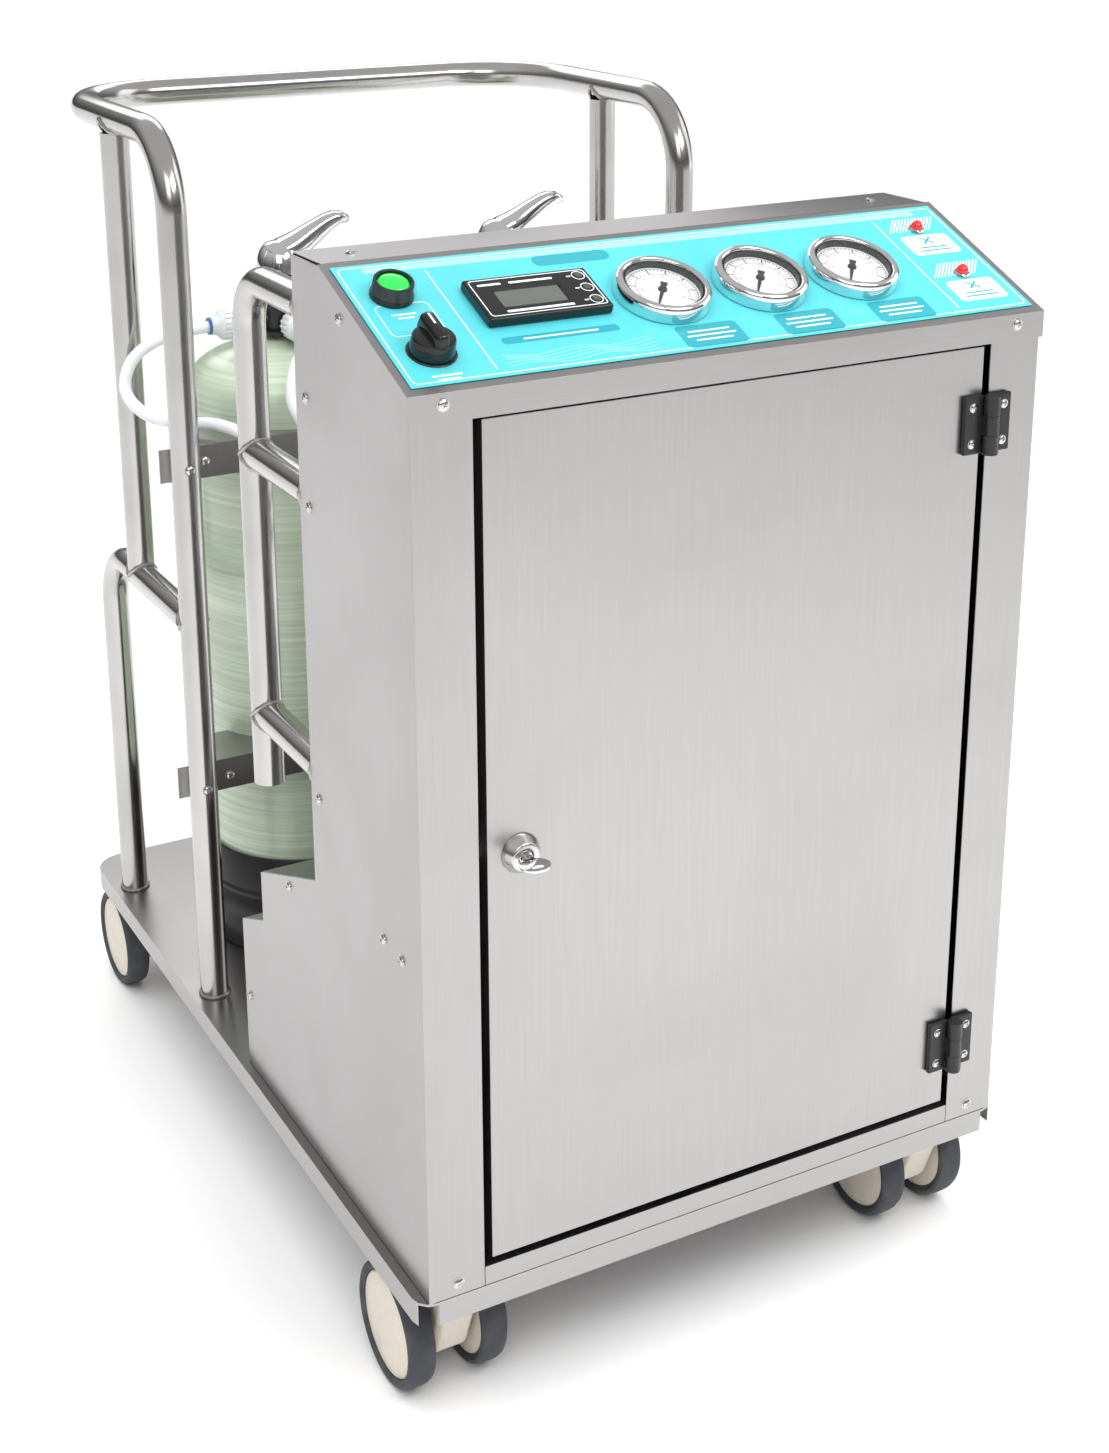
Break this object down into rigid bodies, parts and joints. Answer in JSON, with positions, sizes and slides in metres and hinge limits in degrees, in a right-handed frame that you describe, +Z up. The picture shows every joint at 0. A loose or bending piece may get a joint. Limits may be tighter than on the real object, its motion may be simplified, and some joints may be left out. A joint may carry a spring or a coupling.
{
  "type": "reverse osmosis unit",
  "caption": "Mobile reverse osmosis unit: steel trolley on twin-wheel castors with a locked cabinet, sloped control console, resin tanks with lever valves and a push handle.",
  "frame": {"origin": "on the floor, under the middle of the unit's bounding box", "axes": "+X to the right of a person who faces the door, +Y from the door to the push handle, +Z up"},
  "size_m": [0.536, 0.8456, 0.9246],
  "materials": {
    "brushed_steel": "brushed stainless, satin",
    "chrome": "polished chrome",
    "gauge_steel": "polished stainless bezel",
    "pump_steel": "turned stainless",
    "castor_cream": "moulded nylon, satin",
    "castor_tyre": "soft rubber tread",
    "black_plastic": "moulded, fine grain",
    "white_plastic": "smooth",
    "wound_resin": "filament-wound, glossy gel coat",
    "overlay_turquoise": "printed polyester foil",
    "button_green": "lit lens",
    "key_grey": "rubber key",
    "pointer_black": "matt paint",
    "lamp_red": "domed lens",
    "motor_paint": "enamel",
    "filter_blue": "clear-blue bowl",
    "box_grey": "moulded"
  },
  "bodies": {
    "frame": {"base_tray": "brushed_steel", "push_handle": "brushed_steel", "rear_frame_left": "brushed_steel", "rear_frame_right": "brushed_steel", "guard_rail_left": "brushed_steel", "guard_rail_right": "brushed_steel", "tank_bracket_lower": "brushed_steel", "tank_bracket_upper": "brushed_steel", "side_panel_left": "brushed_steel", "side_panel_right": "brushed_steel", "back_cover": "brushed_steel", "bottom_rail": "brushed_steel", "console_lid": "brushed_steel", "tank_left": "wound_resin", "tank_right": "wound_resin", "tank_boot_left": "black_plastic", "tank_boot_right": "black_plastic", "valve_head_left": "black_plastic", "valve_head_right": "black_plastic", "hinge_frame_leaf_lower": "black_plastic", "hinge_frame_leaf_upper": "black_plastic", "start_button_seat": "black_plastic", "meter_case": "black_plastic", "hose_left_inlet": "white_plastic", "hose_left_outlet": "white_plastic", "hose_right_outlet": "white_plastic", "membrane_vessel": "white_plastic", "console_overlay": "overlay_turquoise", "gauge_case_1": "gauge_steel", "gauge_case_2": "gauge_steel", "gauge_case_3": "gauge_steel", "alarm_lamp_1": "lamp_red", "alarm_lamp_2": "lamp_red", "pump_motor": "motor_paint", "booster_pump": "pump_steel", "prefilter_housing": "filter_blue", "control_box": "box_grey"},
    "door": {"door": "brushed_steel", "hinge_door_leaf_upper": "black_plastic", "hinge_door_leaf_lower": "black_plastic", "lock_housing": "chrome"},
    "lock": {"lock_plug_and_key": "chrome"},
    "start_button": {"start_button_cap": "button_green"},
    "selector": {"selector_knob": "black_plastic"},
    "lever_left": {"valve_lever_left": "chrome"},
    "lever_right": {"valve_lever_right": "chrome"},
    "meter_key_1": {"meter_key_1": "key_grey"},
    "pointer_1": {"gauge_pointer_1": "pointer_black"},
    "meter_key_2": {"meter_key_2": "key_grey"},
    "pointer_2": {"gauge_pointer_2": "pointer_black"},
    "meter_key_3": {"meter_key_3": "key_grey"},
    "pointer_3": {"gauge_pointer_3": "pointer_black"},
    "castor_front_left": {"castor_fork_front_left": "castor_cream"},
    "wheels_front_left": {"castor_wheels_front_left": "castor_tyre"},
    "castor_front_right": {"castor_fork_front_right": "castor_cream"},
    "wheels_front_right": {"castor_wheels_front_right": "castor_tyre"},
    "castor_rear_left": {"castor_fork_rear_left": "castor_cream"},
    "wheels_rear_left": {"castor_wheels_rear_left": "castor_tyre"},
    "castor_rear_right": {"castor_fork_rear_right": "castor_cream"},
    "wheels_rear_right": {"castor_wheels_rear_right": "castor_tyre"}
  },
  "joints": [
    {"name": "door_hinge", "type": "hinge", "parent": "frame", "child": "door", "pos_m": [0.21135, -0.39835, 0.46375], "axis": [0, 0, 1], "range_deg": [0, 110]},
    {"name": "lock_turn", "type": "hinge", "parent": "door", "child": "lock", "pos_m": [-0.1822, -0.38985, 0.4685], "axis": [0, -1, 0], "range_deg": [0, 90]},
    {"name": "start_button_press", "type": "slide", "parent": "frame", "child": "start_button", "axis": [0, 0.3947, -0.9188], "range_m": [0, 0.004], "stiffness_N_per_m": 300, "springref_m": -0.002},
    {"name": "selector_turn", "type": "hinge", "parent": "frame", "child": "selector", "pos_m": [-0.226, -0.35365, 0.825], "axis": [0, 0.3947, -0.9188], "range_deg": [0, 90]},
    {"name": "lever_left_turn", "type": "hinge", "parent": "frame", "child": "lever_left", "pos_m": [-0.112, 0.20815, 0.7778], "axis": [0, 0, 1], "range_deg": [-90, 90]},
    {"name": "lever_right_turn", "type": "hinge", "parent": "frame", "child": "lever_right", "pos_m": [0.112, 0.20815, 0.7778], "axis": [0, 0, 1], "range_deg": [-90, 90]},
    {"name": "pointer_1_turn", "type": "hinge", "parent": "frame", "child": "pointer_1", "pos_m": [-0.0335, -0.32563, 0.83703], "axis": [0, 0.3947, -0.9188], "range_deg": [0, 279], "stiffness_Nm_per_rad": 0.002},
    {"name": "pointer_2_turn", "type": "hinge", "parent": "frame", "child": "pointer_2", "pos_m": [0.049, -0.32563, 0.83703], "axis": [0, 0.3947, -0.9188], "range_deg": [0, 279], "stiffness_Nm_per_rad": 0.002},
    {"name": "pointer_3_turn", "type": "hinge", "parent": "frame", "child": "pointer_3", "pos_m": [0.1305, -0.32563, 0.83703], "axis": [0, 0.3947, -0.9188], "range_deg": [0, 279], "stiffness_Nm_per_rad": 0.002},
    {"name": "meter_key_1_press", "type": "slide", "parent": "frame", "child": "meter_key_1", "axis": [0, 0.3947, -0.9188], "range_m": [0, 0.0006], "stiffness_N_per_m": 400, "springref_m": -0.0003},
    {"name": "meter_key_2_press", "type": "slide", "parent": "frame", "child": "meter_key_2", "axis": [0, 0.3947, -0.9188], "range_m": [0, 0.0006], "stiffness_N_per_m": 400, "springref_m": -0.0003},
    {"name": "meter_key_3_press", "type": "slide", "parent": "frame", "child": "meter_key_3", "axis": [0, 0.3947, -0.9188], "range_m": [0, 0.0006], "stiffness_N_per_m": 400, "springref_m": -0.0003},
    {"name": "castor_front_left_swivel", "type": "hinge", "parent": "frame", "child": "castor_front_left", "pos_m": [-0.221, -0.33385, 0], "axis": [0, 0, 1], "continuous": true},
    {"name": "wheels_front_left_spin", "type": "hinge", "parent": "castor_front_left", "child": "wheels_front_left", "pos_m": [-0.221, -0.30985, 0.05], "axis": [1, 0, 0], "continuous": true},
    {"name": "castor_front_right_swivel", "type": "hinge", "parent": "frame", "child": "castor_front_right", "pos_m": [0.221, -0.33385, 0], "axis": [0, 0, 1], "continuous": true},
    {"name": "wheels_front_right_spin", "type": "hinge", "parent": "castor_front_right", "child": "wheels_front_right", "pos_m": [0.221, -0.30985, 0.05], "axis": [1, 0, 0], "continuous": true},
    {"name": "castor_rear_left_swivel", "type": "hinge", "parent": "frame", "child": "castor_rear_left", "pos_m": [-0.221, 0.34815, 0], "axis": [0, 0, 1], "continuous": true},
    {"name": "wheels_rear_left_spin", "type": "hinge", "parent": "castor_rear_left", "child": "wheels_rear_left", "pos_m": [-0.221, 0.37215, 0.05], "axis": [1, 0, 0], "continuous": true},
    {"name": "castor_rear_right_swivel", "type": "hinge", "parent": "frame", "child": "castor_rear_right", "pos_m": [0.221, 0.34815, 0], "axis": [0, 0, 1], "continuous": true},
    {"name": "wheels_rear_right_spin", "type": "hinge", "parent": "castor_rear_right", "child": "wheels_rear_right", "pos_m": [0.221, 0.37215, 0.05], "axis": [1, 0, 0], "continuous": true}
  ]
}
